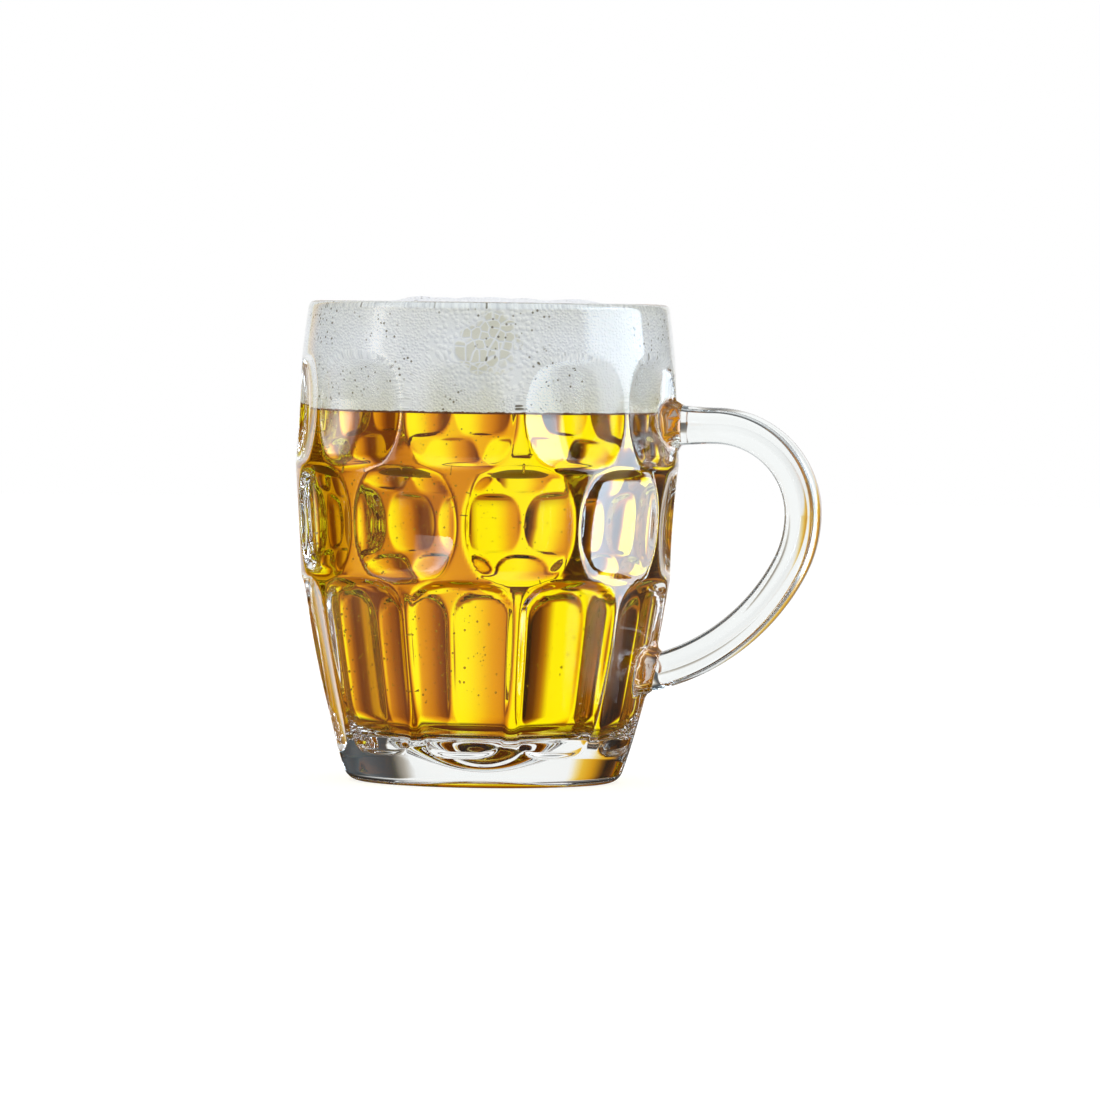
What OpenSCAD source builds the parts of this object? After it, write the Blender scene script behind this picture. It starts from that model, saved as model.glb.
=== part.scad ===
// Dimpled glass beer mug with a stuck-on handle, filled with lager under a head of froth.
// The bowl is a pressed barrel: two staggered rows of dished dimples over a row of tall flutes.
// Origin: centre of the foot ring on the table. The handle reaches along +X, the mouth faces +Z.

/* [Bowl] */
// Height of the glass from the table to the rim
mug_h = 126; // [118:1:136]
// Widest diameter, measured over the ribs
belly_d = 100.8; // [99:0.2:106]
// Height at which the barrel is widest
belly_h = 83.7; // [78:0.1:90]
// How far the barrel draws in from the belly to the rim
rim_draw = 3.1; // [2:0.1:4.4]
// How far the barrel curve draws in from the belly to the table
base_draw = 14.8; // [12.4:0.1:16.4]
// Rounding of the heel, where the barrel turns under
heel_r = 4; // [3:0.5:6]
// Rounding of the lip, half of the wall's thickness there
lip_r = 1.9; // [1.5:0.1:2.2]

/* [Inside] */
// Thickness of the glass floor in the middle
floor_t = 13; // [10:0.5:16]
// Rounding where the inside wall meets the floor
floor_fillet_r = 9; // [5:0.5:12]
// Taper of the plunger, as an angle of the wall from upright
draft_angle = 1.4; // [0.8:0.1:1.8]
// Height below which the inside wall curves in
plunger_knee_h = 95; // [88:1:102]
// Radius of that inward curve
plunger_curve_r = 620; // [560:10:760]

/* [Dimples] */
// Dimples or flutes around the barrel, in each row
dimples_per_row = 10; // [9:1:11]
// Plain band between the rim and the upper dimples
shoulder_h = 15; // [12:0.5:18]
// Height of one dimple
dimple_h = 27; // [24:0.5:29]
// Depth of a dimple below the ribs, at its middle
dimple_depth = 4.2; // [3.4:0.1:4.8]
// Corner rounding of a dimple's outline
dimple_corner_r = 8.5; // [6:0.5:10]
// Land left between one row and the next
row_land = 1.8; // [1:0.2:3]
// Rib left between neighbours at the top of each row
rib_w = 2.2; // [1.4:0.2:3]
// Radius of a dimple's dish, across the dimple
dish_across_r = 60; // [56:1:90]
// Radius of a dimple's dish, up and down
dish_along_r = 45; // [38:1:54]

/* [Flutes] */
// Height at which a flute runs out into the heel
flute_foot_h = 5.5; // [4.5:0.5:9]
// Depth of a flute below the ribs, near its top
flute_depth = 3.3; // [2.6:0.1:3.8]
// Height of the arch that tops a flute
flute_arch_h = 8; // [5:0.5:11]
// Radius of a flute's hollow, across the flute
flute_hollow_r = 105; // [80:5:160]

/* [Foot] */
// Width of the flat ring that the mug stands on
foot_ring_w = 3.2; // [2:0.2:5]
// Depth of the shallow recess inside the ring
punt_h = 1.2; // [0.6:0.1:2]

/* [Handle] */
// Thickness of the handle, seen from the side
grip_t = 9.6; // [8.5:0.1:11]
// Width of the handle across its grip
grip_w = 12.6; // [11.2:0.2:15]
// Height of the upper limb's centre line
upper_limb_h = 94.4; // [91:0.2:98]
// Height of the centre line where the handle lands below
lower_limb_h = 29.8; // [27:0.2:34]
// How far the grip's centre line stands off the belly
grip_out = 33.3; // [29.6:0.1:37.6]
// Bend between the upper limb and the grip, on the centre line
upper_bend_r = 23; // [20:0.5:26]
// Bend at the outer elbow, on the centre line
elbow_bend_r = 30; // [27:0.5:33]
// Slow curve of the lower limb, on the centre line
lower_sweep_r = 55; // [48:1:80]
// How far the pads stand out from the barrel
pad_rise = 1.6; // [1.2:0.1:2.4]
// Margin of each pad around the handle's end
pad_margin = 0.5; // [0.3:0.1:0.8]

/* [Drink] */
// Height of the lager's surface above the table
lager_h = 97; // [88:0.5:104]
// How far the froth stands over the rim in the middle
froth_rise = 0.8; // [0.4:0.1:1.2]
// How far the highest lump stands over the rim
froth_lump_rise = 1.5; // [1:0.1:2.5]
// How far below the rim the froth meets the glass
froth_edge_drop = 1.2; // [0.6:0.1:2.4]
// Largest lump on the froth's surface, as a radius
froth_lump_r = 15; // [12:0.5:18]

/* [Hidden] */
$fn = 120;
overrun = 1;
turn = 360;
pitch_angle = turn / dimples_per_row;

// The barrel is two arcs that meet upright at the belly
belly_r = belly_d / 2;
function arc_through(rise, inset) = (rise * rise + inset * inset) / (2 * inset);
lower_arc_r = arc_through(belly_h, base_draw);
upper_arc_r = arc_through(mug_h - belly_h, rim_draw);
function arc_r(z) = z < belly_h ? lower_arc_r : upper_arc_r;
function barrel_r(z) = belly_r - arc_r(z) + sqrt(pow(arc_r(z), 2) - pow(z - belly_h, 2));

// Centres of the heel and lip roundings, each tangent to its own arc of the barrel
heel_x = belly_r - lower_arc_r + sqrt(pow(lower_arc_r - heel_r, 2) - pow(belly_h - heel_r, 2));
lip_h = mug_h - lip_r;
lip_x = belly_r - upper_arc_r + sqrt(pow(upper_arc_r - lip_r, 2) - pow(lip_h - belly_h, 2));
heel_turn = acos((belly_h - heel_r) / (lower_arc_r - heel_r));
lip_turn = asin((lip_h - belly_h) / (upper_arc_r - lip_r));
heel_top_h = heel_r - heel_r * cos(heel_turn);
lip_foot_h = lip_h + lip_r * sin(lip_turn);

// The bore is drafted like a plunger, straight above the knee and curving in below it
bore_top_r = lip_x - lip_r;
function knee_curve(z) = z > plunger_knee_h ? 0
    : plunger_curve_r - sqrt(pow(plunger_curve_r, 2) - pow(plunger_knee_h - z, 2));
function bore_r(z) = bore_top_r - tan(draft_angle) * (lip_h - z) - knee_curve(z);
fillet_h = floor_t + floor_fillet_r;
fillet_lean = draft_angle + asin((plunger_knee_h - fillet_h) / plunger_curve_r);
fillet_x = bore_r(fillet_h - floor_fillet_r * sin(fillet_lean)) - floor_fillet_r * cos(fillet_lean);
fillet_top_h = fillet_h - floor_fillet_r * sin(fillet_lean);

// Steps along each stretch of the outline
barrel_steps = 9;
round_steps = 6;
arch_steps = 10;
bore_steps = 7;
function mix(a, b, share) = a + (b - a) * share;
heel_points = [for (i = [0:round_steps]) let (a = heel_turn * i / round_steps)
    [heel_x + heel_r * sin(a), heel_r - heel_r * cos(a)]];
below_belly = [for (i = [1:barrel_steps]) let (z = mix(heel_top_h, belly_h, i / barrel_steps))
    [barrel_r(z), z]];
above_belly = [for (i = [1:round_steps - 1]) let (z = mix(belly_h, lip_foot_h, i / round_steps))
    [barrel_r(z), z]];
lip_points = [for (i = [0:round_steps + 1]) let (a = mix(lip_turn, turn / 2, i / (round_steps + 1)))
    [lip_x + lip_r * cos(a), lip_h + lip_r * sin(a)]];
bore_points = [for (i = [1:bore_steps]) let (z = mix(lip_h, fillet_top_h, i / bore_steps))
    [bore_r(z), z]];
fillet_points = [for (i = [1:round_steps]) let (a = mix(fillet_lean, turn / 4, i / round_steps))
    [fillet_x + floor_fillet_r * cos(a), fillet_h - floor_fillet_r * sin(a)]];
ring_inner_r = heel_x - foot_ring_w;
foot_points = [[0, punt_h], [ring_inner_r - punt_h, punt_h], [ring_inner_r, 0]];

// Heights of the three rows, from the rim down
upper_row_top = mug_h - shoulder_h;
middle_row_top = upper_row_top - dimple_h - row_land;
flute_top = middle_row_top - dimple_h - row_land;
function row_middle(top) = top - dimple_h / 2;
function wall_lean(low, high) = atan((barrel_r(high) - barrel_r(low)) / (high - low));
function rib_pitch(z) = 2 * barrel_r(z) * sin(pitch_angle / 2);
dimple_w = rib_pitch(belly_h) - rib_w;

// A flute's floor runs straight from its full depth under the arch to nothing at the heel
flute_shoulder_h = flute_top - flute_arch_h / 2;
flute_head_r = barrel_r(flute_shoulder_h) - flute_depth;
flute_foot_r = barrel_r(flute_foot_h);
flute_lean = atan((flute_head_r - flute_foot_r) / (flute_shoulder_h - flute_foot_h));
flute_l = (flute_top - flute_foot_h) / cos(flute_lean);
flute_head_w = rib_pitch(flute_top - flute_arch_h) - rib_w;
flute_foot_w = rib_pitch(flute_foot_h) - rib_w / 2;
cutter_reach = dimple_depth + dimple_w / 2;

// Centre line of the handle, in the XZ plane
grip_reach = belly_r + grip_out;
bend_x = grip_reach - upper_bend_r;
grip_h = upper_limb_h - upper_bend_r;
elbow_x = grip_reach - elbow_bend_r;
upper_pad_x = barrel_r(upper_limb_h) + pad_rise;
lower_lean = wall_lean(lower_limb_h - grip_t, lower_limb_h + grip_t);
lower_pad_x = barrel_r(lower_limb_h) + pad_rise;
landing_run = lower_pad_x - elbow_x;
landing_drop = grip_h - lower_limb_h;
landing_d = norm([landing_run, landing_drop]);
sweep_offset = lower_sweep_r - elbow_bend_r;
sweep_corner = acos((pow(sweep_offset, 2) + pow(landing_d, 2) - pow(lower_sweep_r, 2))
    / (2 * sweep_offset * landing_d));
elbow_turn = atan2(-landing_drop, landing_run) - sweep_corner + turn / 2;
sweep_x = elbow_x - sweep_offset * cos(elbow_turn);
sweep_h = grip_h - sweep_offset * sin(elbow_turn);
landing_turn = atan2(lower_limb_h - sweep_h, lower_pad_x - sweep_x);

// Stations along it: place, way of the thickness, and swelling where it meets a pad
grip_sides = 24;
limb_steps = 4;
bend_steps = 10;
sweep_steps = 8;
flare_share = 0.1;
landing_face = -lower_lean - turn / 4;
function on_arc(x, h, r, way) = [x + r * cos(way), h + r * sin(way)];
function landing_way(way, share) = mix(way, landing_face, pow(share, 2));
grip_stations = concat(
    [for (i = [0:limb_steps - 1]) let (share = i / limb_steps)
        [[mix(upper_pad_x, bend_x, share), upper_limb_h], turn / 4, turn / 4,
            1 + flare_share * pow(1 - share, 2)]],
    [for (i = [0:bend_steps]) let (way = mix(turn / 4, 0, i / bend_steps))
        [on_arc(bend_x, grip_h, upper_bend_r, way), way, way, 1]],
    [for (i = [1:sweep_steps]) let (way = elbow_turn * i / sweep_steps)
        [on_arc(elbow_x, grip_h, elbow_bend_r, way), way, way, 1]],
    [for (i = [1:sweep_steps]) let (way = mix(elbow_turn, landing_turn, i / sweep_steps))
        [on_arc(sweep_x, sweep_h, lower_sweep_r, way), way, landing_way(way, i / sweep_steps), 1]]);
function grip_ring(station) = [for (j = [0:grip_sides - 1])
    let (a = turn * j / grip_sides,
        out = grip_t / 2 * station[3] * cos(a) / cos(station[2] - station[1]))
        [station[0][0] + out * cos(station[2]), grip_w / 2 * station[3] * sin(a),
            station[0][1] + out * sin(station[2])]];
landing_t = grip_t / cos(landing_face - landing_turn);
pad_t = grip_t * (1 + flare_share) + 2 * pad_margin;
pad_w = grip_w * (1 + flare_share) + 2 * pad_margin;
pad_root = pad_rise + dimple_depth;

// Lumps on the froth: where they stand, how far out, how big and how proud, as shares
lump_shares = [[238, 0.64, 0.8, 1], [215, 0.5, 0.6, 0.85], [262, 0.42, 0.7, 0.9],
    [285, 0.14, 0.8, 0.95], [70, 0.45, 0.9, 0.8], [130, 0.55, 0.8, 0.85], [340, 0.6, 1, 0.75]];
froth_top_h = mug_h + froth_rise;
froth_edge_h = mug_h - froth_edge_drop;
froth_dome_r = arc_through(bore_top_r, froth_top_h - froth_edge_h);

// Outline of a pad, with two round sides
module pad_outline(t, w) {
    square([t, w - t], center = true);
    for (side = [-1, 1])
        translate([0, side * (w - t) / 2]) circle(d = t);
}

// The glass as it leaves the mould, before the dimples are sunk
module barrel_blank() {
    rotate_extrude()
        polygon(concat(foot_points, heel_points, below_belly, above_belly, lip_points,
            bore_points, fillet_points, [[0, floor_t]]));
}

// Outline of a dimple, seen from the front
module dimple_window() {
    square([dimple_w - 2 * dimple_corner_r, dimple_h], center = true);
    square([dimple_w, dimple_h - 2 * dimple_corner_r], center = true);
    for (x = [-1, 1], y = [-1, 1])
        translate([x * (dimple_w / 2 - dimple_corner_r), y * (dimple_h / 2 - dimple_corner_r)])
            circle(r = dimple_corner_r);
}

// The plunge that one dimple takes out of the barrel, its middle on the rib surface
module dimple_plunge() {
    intersection() {
        translate([dish_across_r - dimple_depth, 0])
            rotate_extrude() intersection() {
                translate([dish_across_r - dish_along_r, 0]) circle(r = dish_along_r);
                translate([0, -dish_along_r]) square([dish_across_r, 2 * dish_along_r]);
            }
        translate([-cutter_reach, 0])
            rotate([90, 0, 90]) linear_extrude(height = 2 * cutter_reach) dimple_window();
    }
}

module dimple_row(top, phase) {
    z = row_middle(top);
    lean = wall_lean(top - dimple_h, top);
    for (i = [0:dimples_per_row - 1])
        rotate((i + phase) * pitch_angle)
            translate([barrel_r(z), 0, z]) rotate([0, lean, 0]) dimple_plunge();
}

// Outline of a flute: straight sides that close in to the foot, under a round arch
module flute_window() {
    spring = flute_l - flute_arch_h;
    polygon(concat([[-flute_foot_w / 2, -overrun], [flute_foot_w / 2, -overrun]],
        [for (i = [0:arch_steps]) let (a = turn / 2 * i / arch_steps)
            [flute_head_w / 2 * cos(a), spring + flute_arch_h * sin(a)]]));
}

module flute_plunge() {
    intersection() {
        translate([flute_hollow_r, 0, -flute_l]) cylinder(r = flute_hollow_r, h = 3 * flute_l);
        translate([-overrun, 0])
            rotate([90, 0, 90]) linear_extrude(height = 2 * cutter_reach) flute_window();
    }
}

module flute_row() {
    for (i = [0:dimples_per_row - 1])
        rotate((i + 1 / 2) * pitch_angle)
            translate([flute_foot_r, 0, flute_foot_h]) rotate([0, flute_lean, 0]) flute_plunge();
}

// Flat-faced boss that one end of the handle is stuck to, its face at the origin
module pad(t) {
    rotate([0, 90, 0]) translate([0, 0, -pad_root])
        linear_extrude(height = pad_root) pad_outline(t, pad_w);
}

module pads() {
    translate([upper_pad_x, 0, upper_limb_h]) pad(pad_t);
    translate([lower_pad_x, 0, lower_limb_h])
        rotate([0, lower_lean, 0]) pad(landing_t + 2 * pad_margin);
}

module glass_bowl() {
    color([0.86, 0.92, 0.93, 0.45]) {
        difference() {
            barrel_blank();
            dimple_row(upper_row_top, 1 / 2);
            dimple_row(middle_row_top, 0);
            flute_row();
        }
        pads();
    }
}

// One ring of the handle's skin for each station along the centre line
module handle() {
    points = [for (station = grip_stations) each grip_ring(station)];
    last = len(grip_stations) - 1;
    skin = [for (i = [0:last - 1], j = [0:grip_sides - 1])
        let (k = (j + 1) % grip_sides, near = i * grip_sides, far = near + grip_sides)
            [near + j, near + k, far + k, far + j]];
    color([0.9, 0.94, 0.94, 0.45])
        polyhedron(points, concat(skin, [[for (j = [grip_sides - 1:-1:0]) j]],
            [[for (j = [0:grip_sides - 1]) last * grip_sides + j]]));
}

// Everything inside the bore, carried past the rim
module bore_space() {
    rotate_extrude()
        polygon(concat([[0, froth_top_h + froth_lump_r], [bore_top_r, froth_top_h + froth_lump_r],
            [bore_top_r, lip_h]], bore_points, fillet_points, [[0, floor_t]]));
}

module lager() {
    color([0.96, 0.74, 0.05, 0.85])
        intersection() {
            bore_space();
            cylinder(r = belly_r, h = lager_h);
        }
}

// One low lump, a ball sunk in the froth until only its crown stands out
module froth_lump(lump) {
    r = froth_lump_r * lump[2];
    rotate(lump[0])
        translate([bore_top_r * lump[1], 0, mug_h + froth_lump_rise * lump[3] - r]) sphere(r = r);
}

module froth() {
    color([0.9, 0.91, 0.89])
        intersection() {
            bore_space();
            translate([0, 0, lager_h]) cylinder(r = belly_r, h = mug_h);
            union() {
                translate([0, 0, froth_top_h - froth_dome_r]) sphere(r = froth_dome_r);
                for (lump = lump_shares) froth_lump(lump);
            }
        }
}

glass_bowl();
handle();
lager();
froth();
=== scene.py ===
"""Dimpled glass beer mug, full of lager under a head of froth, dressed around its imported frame.

The bowl and the handle are pressed soda-lime glass. The bore below the drink's surface is a wet
glass face, whose bending of light is that of glass against lager and not of glass against air.
All lengths are metres in the frame of the part: +Z up, the handle along +X, the foot at zero.
"""

from __future__ import annotations

import logging
import math
import random
from dataclasses import dataclass, field
from enum import Enum
from typing import Any, Sequence

import bpy
import numpy as np
from mathutils import Matrix, Vector


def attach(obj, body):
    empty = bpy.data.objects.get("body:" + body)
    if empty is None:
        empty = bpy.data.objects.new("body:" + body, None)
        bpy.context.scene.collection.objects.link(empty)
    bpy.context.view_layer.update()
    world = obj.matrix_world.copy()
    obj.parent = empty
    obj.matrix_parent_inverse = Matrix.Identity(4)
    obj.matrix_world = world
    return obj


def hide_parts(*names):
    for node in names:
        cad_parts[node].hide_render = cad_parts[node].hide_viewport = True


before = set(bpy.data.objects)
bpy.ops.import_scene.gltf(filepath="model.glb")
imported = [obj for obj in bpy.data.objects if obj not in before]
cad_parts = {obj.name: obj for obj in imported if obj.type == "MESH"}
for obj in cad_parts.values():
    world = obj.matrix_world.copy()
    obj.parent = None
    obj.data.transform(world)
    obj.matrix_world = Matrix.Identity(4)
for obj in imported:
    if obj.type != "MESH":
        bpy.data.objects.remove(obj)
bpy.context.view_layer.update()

MM = 0.001
WELD = MM / 200
FIT = 0.03 * MM
DRINK_TOP = 97 * MM
GLASS_IOR = 1.52
LAGER_IOR = 1.345
ROOT = "root"
FULL_TURN = 2 * math.pi
log = logging.getLogger("mug")

Point = tuple[float, float, float]
Colour = tuple[float, float, float, float]


def linear(hex_colour: str) -> Colour:
    """Turn an sRGB colour into the linear one that the shaders take.

    Args:
        hex_colour: six hex digits, such as "F2C200".

    Returns:
        Red, green, blue and an alpha of one.
    """
    channels = [int(hex_colour[i:i + 2], 16) / 255 for i in (0, 2, 4)]
    bright = [c / 12.92 if c <= 0.04045 else ((c + 0.055) / 1.055) ** 2.4 for c in channels]
    return (bright[0], bright[1], bright[2], 1.0)


def smooth_step(low: float, high: float, value: np.ndarray) -> np.ndarray:
    """Return how far each value lies on its way from low to high, along an S curve."""
    share = np.clip((value - low) / (high - low), 0, 1)
    return share * share * (3 - 2 * share)


def mix(start: float, end: float, share: float) -> float:
    """Return the value at a share of the way from start to end."""
    return start + (end - start) * share


def add_node(tree: bpy.types.NodeTree, kind: str, settings: dict[str, Any] | None = None,
             **inputs: Any) -> bpy.types.Node:
    """Add a node to a tree, with its settings and its inputs.

    Args:
        tree: the node tree to add to.
        kind: Blender's name for the node type.
        settings: attributes of the node, by name.
        inputs: sockets by name, with underscores for spaces, or by position as in0 and in1.
            A socket of another node makes a link, and anything else is set as the value.

    Returns:
        The new node.
    """
    node = tree.nodes.new(kind)
    for name, value in (settings or {}).items():
        setattr(node, name, value)
    for name, value in inputs.items():
        key = int(name[2:]) if name[:2] == "in" and name[2:].isdigit() else name.replace("_", " ")
        socket = node.inputs[key]
        if isinstance(value, bpy.types.NodeSocket):
            tree.links.new(value, socket)
        else:
            socket.default_value = value
    return node


def new_material(name: str) -> tuple[bpy.types.Material, bpy.types.NodeTree, bpy.types.Node]:
    """Make an empty node material.

    Args:
        name: what the material is called.

    Returns:
        The material, its tree and its output node.
    """
    material = bpy.data.materials.new(name)
    material.use_nodes = True
    material.node_tree.nodes.clear()
    output = add_node(material.node_tree, "ShaderNodeOutputMaterial")
    return material, material.node_tree, output


def fill_ramp(node: bpy.types.Node, stops: Sequence[tuple[float, Colour]]) -> None:
    """Set the stops of a colour ramp.

    Args:
        node: the ramp's node.
        stops: place and linear colour of each stop, in order from 0 to 1.
    """
    ramp = node.color_ramp
    while len(ramp.elements) > 1:
        ramp.elements.remove(ramp.elements[-1])
    ramp.elements[0].position, ramp.elements[0].color = stops[0]
    for place, colour in stops[1:]:
        ramp.elements.new(place).color = colour


def clear_material(name: str, ior: float
                   ) -> tuple[bpy.types.Material, bpy.types.NodeTree, bpy.types.Node]:
    """Make the face of something perfectly clear and smooth.

    Args:
        name: what the material is called.
        ior: how much slower light is behind the face than before it.

    Returns:
        The material, its tree and its output node.
    """
    material, tree, output = new_material(name)
    face = add_node(tree, "ShaderNodeBsdfPrincipled", Base_Color=linear("FFFFFF"), IOR=ior,
                    Roughness=0.0, Transmission_Weight=1.0)
    tree.links.new(face.outputs["BSDF"], output.inputs["Surface"])
    return material, tree, output


def deselect_all() -> None:
    """Leave nothing selected, so that the next operator acts on its own piece alone."""
    if bpy.context.object is not None and bpy.context.object.mode != "OBJECT":
        bpy.ops.object.mode_set(mode="OBJECT")
    bpy.ops.object.select_all(action="DESELECT")


def turned_shell(name: str, outline: Sequence[tuple[float, float]], columns: int) -> bpy.types.Object:
    """Spin an outline about the mug's axis into a closed mesh.

    Args:
        name: the name of the new piece.
        outline: radius and height of each point, from axis to axis.
        columns: how many columns of faces go round.

    Returns:
        The new piece, its faces pointing outwards.
    """
    deselect_all()
    bpy.ops.mesh.primitive_plane_add(size=MM, location=(outline[0][0], 0, outline[0][1]))
    piece = bpy.context.object
    piece.name = name
    bpy.ops.object.transform_apply(location=True, rotation=True, scale=True)
    bpy.ops.object.mode_set(mode="EDIT")
    bpy.ops.mesh.select_all(action="SELECT")
    bpy.ops.mesh.merge(type="CENTER")
    for (r0, z0), (r1, z1) in zip(outline, outline[1:]):
        bpy.ops.mesh.extrude_region_move(TRANSFORM_OT_translate={"value": (r1 - r0, 0, z1 - z0)})
    bpy.ops.object.mode_set(mode="OBJECT")
    turn = piece.modifiers.new("turn", "SCREW")
    turn.angle, turn.screw_offset, turn.axis = FULL_TURN, 0, "Z"
    turn.steps = turn.render_steps = columns
    turn.use_merge_vertices, turn.merge_threshold = True, WELD
    bpy.ops.object.modifier_apply(modifier=turn.name)
    bpy.ops.object.mode_set(mode="EDIT")
    bpy.ops.mesh.select_all(action="SELECT")
    bpy.ops.mesh.remove_doubles(threshold=WELD)
    bpy.ops.mesh.normals_make_consistent(inside=False)
    bpy.ops.object.mode_set(mode="OBJECT")
    bpy.ops.object.shade_smooth()
    return piece


def points_of(piece: bpy.types.Object) -> np.ndarray:
    """Read the places of a piece's vertices.

    Args:
        piece: the piece to read.

    Returns:
        A row of x, y and z for each vertex.
    """
    flat = np.empty(len(piece.data.vertices) * 3, dtype=np.float64)
    piece.data.vertices.foreach_get("co", flat)
    return flat.reshape(-1, 3)


def move_points(piece: bpy.types.Object, points: np.ndarray) -> None:
    """Put the piece's vertices at the given places."""
    piece.data.vertices.foreach_set("co", points.astype(np.float64).ravel())
    piece.data.update()


class Row(Enum):
    """The three rows of the pressed pattern, from the rim down."""

    UPPER = "upper dimples"
    MIDDLE = "middle dimples"
    FLUTES = "flutes"


@dataclass(frozen=True)
class PressedGlass:
    """Soda-lime glass, pressed in a mould and fire-polished: clear, glossy, faintly wavy."""

    name: str = "pressed soda-lime glass"
    ior: float = GLASS_IOR
    tint: str = "FBFEFD"
    wave_length: float = 9 * MM
    wave_height: float = 0.012 * MM
    # Above the drink's surface the reflection is dimmed to this grey, a painted shade on the lamps'
    # reflection over the froth
    reflection_dimmed_over_froth: str = "A4A4A4"
    dimming_height: float = DRINK_TOP
    dimming_edge: float = 1 * MM

    def material(self) -> bpy.types.Material:
        """Build the glass with the slow ripple that a mould's chill leaves on its skin.

        Returns:
            The material, whose reflection is dimmed above the drink's surface: painted shade on the
            lamps' reflection over the froth.
        """
        material, tree, output = new_material(self.name)
        place = add_node(tree, "ShaderNodeTexCoord")
        ripple = add_node(tree, "ShaderNodeTexNoise", Vector=place.outputs["Object"],
                          Scale=1 / self.wave_length, Detail=1.0, Roughness=0.4)
        bump = add_node(tree, "ShaderNodeBump", Strength=1.0, Distance=self.wave_height,
                        Height=ripple.outputs["Fac"])
        level = add_node(tree, "ShaderNodeSeparateXYZ", Vector=place.outputs["Object"])
        # Painted shade on the reflection: above the drink's surface the specular tint turns grey, so
        # the lamps' reflection over the froth comes out dimmer
        dimmed_above = add_node(tree, "ShaderNodeMapRange", Value=level.outputs["Z"],
                          From_Min=self.dimming_height - self.dimming_edge,
                          From_Max=self.dimming_height + self.dimming_edge)
        dimmed_reflection_tint = add_node(tree, "ShaderNodeMix", {"data_type": "RGBA"}, in0=dimmed_above.outputs[0],
                         in6=linear("FFFFFF"), in7=linear(self.reflection_dimmed_over_froth))
        glass = add_node(tree, "ShaderNodeBsdfPrincipled", Base_Color=linear(self.tint),
                         IOR=self.ior, Roughness=0.0, Transmission_Weight=1.0,
                         Specular_Tint=dimmed_reflection_tint.outputs[2], Normal=bump.outputs["Normal"])
        tree.links.new(glass.outputs["BSDF"], output.inputs["Surface"])
        return material


@dataclass(frozen=True)
class WetBore:
    """The polished bore where drink wets it, which bends light by glass against lager alone."""

    name: str = "glass wetted by lager"
    ior: float = GLASS_IOR / LAGER_IOR

    def material(self) -> bpy.types.Material:
        """Build the wetted face, which nearly vanishes beside a face against air."""
        return clear_material(self.name, self.ior)[0]


@dataclass(frozen=True)
class LagerBody:
    """Filtered lager: perfectly clear, gold across a glass and amber where the way is long."""

    name: str = "filtered lager"
    kept_colour: str = "FFFD00"
    density: float = 120.0

    def material(self) -> bpy.types.Material:
        """Build the drink: its own face bends nothing, and its depth takes the blue away.

        Returns:
            The material, with its body of colour.
        """
        material, tree, output = clear_material(self.name, 1.0)
        depth = add_node(tree, "ShaderNodeVolumeAbsorption", Color=linear(self.kept_colour),
                         Density=self.density)
        tree.links.new(depth.outputs["Volume"], output.inputs["Volume"])
        return material


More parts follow.
